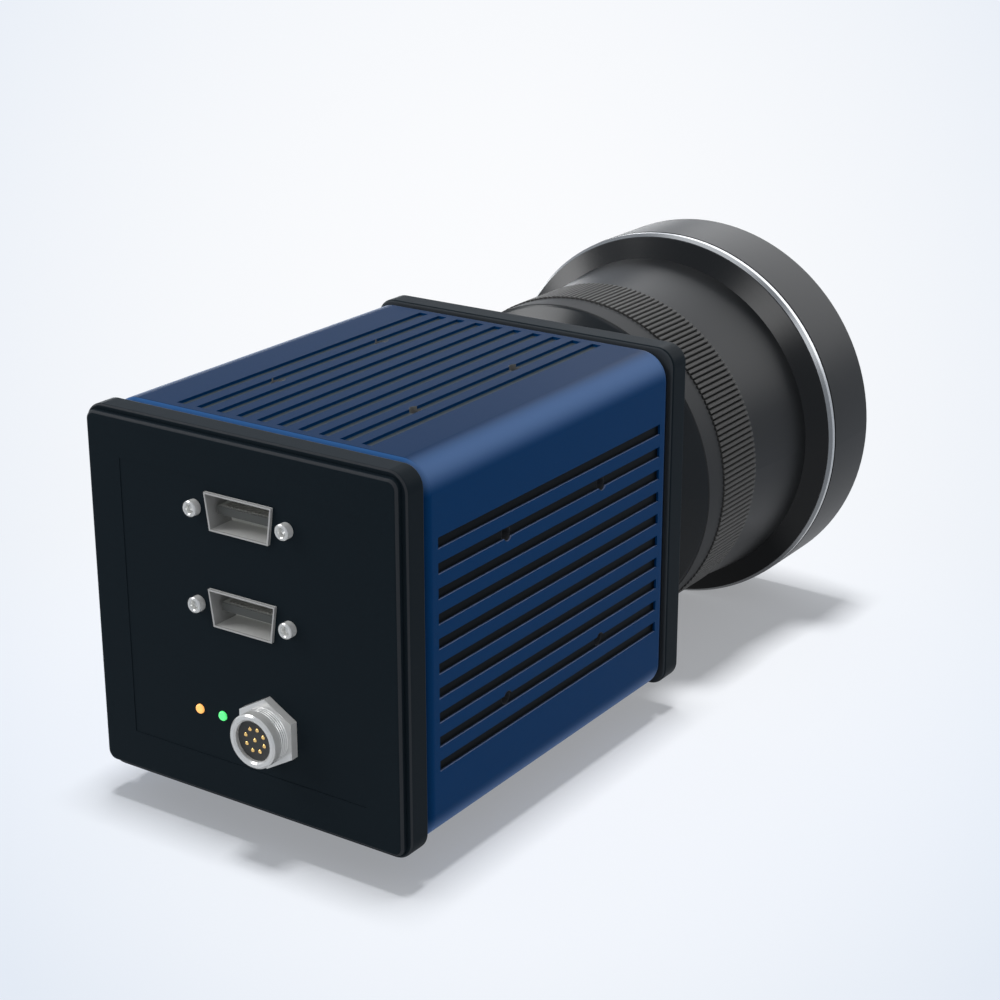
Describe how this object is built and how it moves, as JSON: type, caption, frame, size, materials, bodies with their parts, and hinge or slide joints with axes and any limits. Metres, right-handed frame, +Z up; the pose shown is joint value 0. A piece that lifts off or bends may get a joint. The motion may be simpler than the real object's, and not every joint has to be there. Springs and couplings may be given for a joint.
{
  "type": "gas leak imaging camera",
  "caption": "Square grooved housing with sealed end caps, data and power sockets at the rear, and a wide infrared lens with a knurled focus ring.",
  "frame": {"origin": "middle of the bounding box at the level of the lens bell's lowest point", "axes": "+Y along the optical axis out of the lens, +Z up, +X to the right seen from the rear"},
  "size_m": [0.1332, 0.2706, 0.1332],
  "materials": {
    "housing_blue": "satin blue anodised extrusion",
    "cap_black": "satin black anodised plate",
    "seal_rubber": "matt black rubber",
    "black_steel": "blackened steel",
    "plain_steel": "turned",
    "bare_aluminium": "as machined",
    "board_green": "solder resist",
    "socket_metal": "nickel-plated sheet",
    "contact_block": "moulded",
    "bright_steel": "nickel-plated, turned",
    "lamp_amber": "lit light pipe",
    "lamp_green": "lit light pipe",
    "insert_black": "moulded",
    "contact_gold": "gold-plated",
    "lens_black": "satin black anodised, turned",
    "knurl_grey": "dark anodised, knurled",
    "trim_bright": "bright turned ring",
    "bell_black": "matt black anodised, turned",
    "lens_glass": "coated germanium"
  },
  "bodies": {
    "camera": {"housing": "housing_blue", "rear_cap": "cap_black", "rear_seal": "seal_rubber", "front_seal": "seal_rubber", "front_cap": "cap_black", "front_cap_screws": "black_steel", "tie_rods": "plain_steel", "spacer_tubes": "bare_aluminium", "interface_board": "board_green", "processing_board": "board_green", "upper_data_shell": "socket_metal", "lower_data_shell": "socket_metal", "upper_data_contacts": "contact_block", "lower_data_contacts": "contact_block", "jack_posts": "bright_steel", "amber_status_lamp": "lamp_amber", "green_status_lamp": "lamp_green", "power_socket_shell": "bright_steel", "power_socket_nut": "bright_steel", "power_socket_insert": "insert_black", "power_socket_pins": "contact_gold", "detector_bulkhead": "bare_aluminium", "detector_flask": "plain_steel", "flask_window": "lens_glass", "gas_band_filter": "lens_glass", "cryocooler": "plain_steel", "cooler_saddle": "bare_aluminium", "lens_mount_ring": "plain_steel", "lens_mount_screws": "plain_steel", "rear_barrel": "lens_black", "main_barrel": "lens_black", "trim_ring": "trim_bright", "front_bell": "bell_black", "front_lens": "lens_glass", "lens_retainer": "bell_black", "rear_lens": "lens_glass", "rear_lens_ring": "lens_black"},
    "focus_ring": {"focus_ring": "knurl_grey"},
    "focus_cell": {"focus_cell": "bare_aluminium", "focus_lens": "lens_glass"}
  },
  "joints": [
    {"name": "focus_turn", "type": "hinge", "parent": "camera", "child": "focus_ring", "pos_m": [0, 0.0592, 0.0666], "axis": [0, 1, 0], "range_deg": [-75, 75]},
    {"name": "cell_slide", "type": "slide", "parent": "camera", "child": "focus_cell", "axis": [0, 1, 0], "range_m": [-0.0035, 0.0035]}
  ],
  "couplings": [
    {"joint": "cell_slide", "follows": "focus_turn", "m_per_rad": 0.0023}
  ]
}
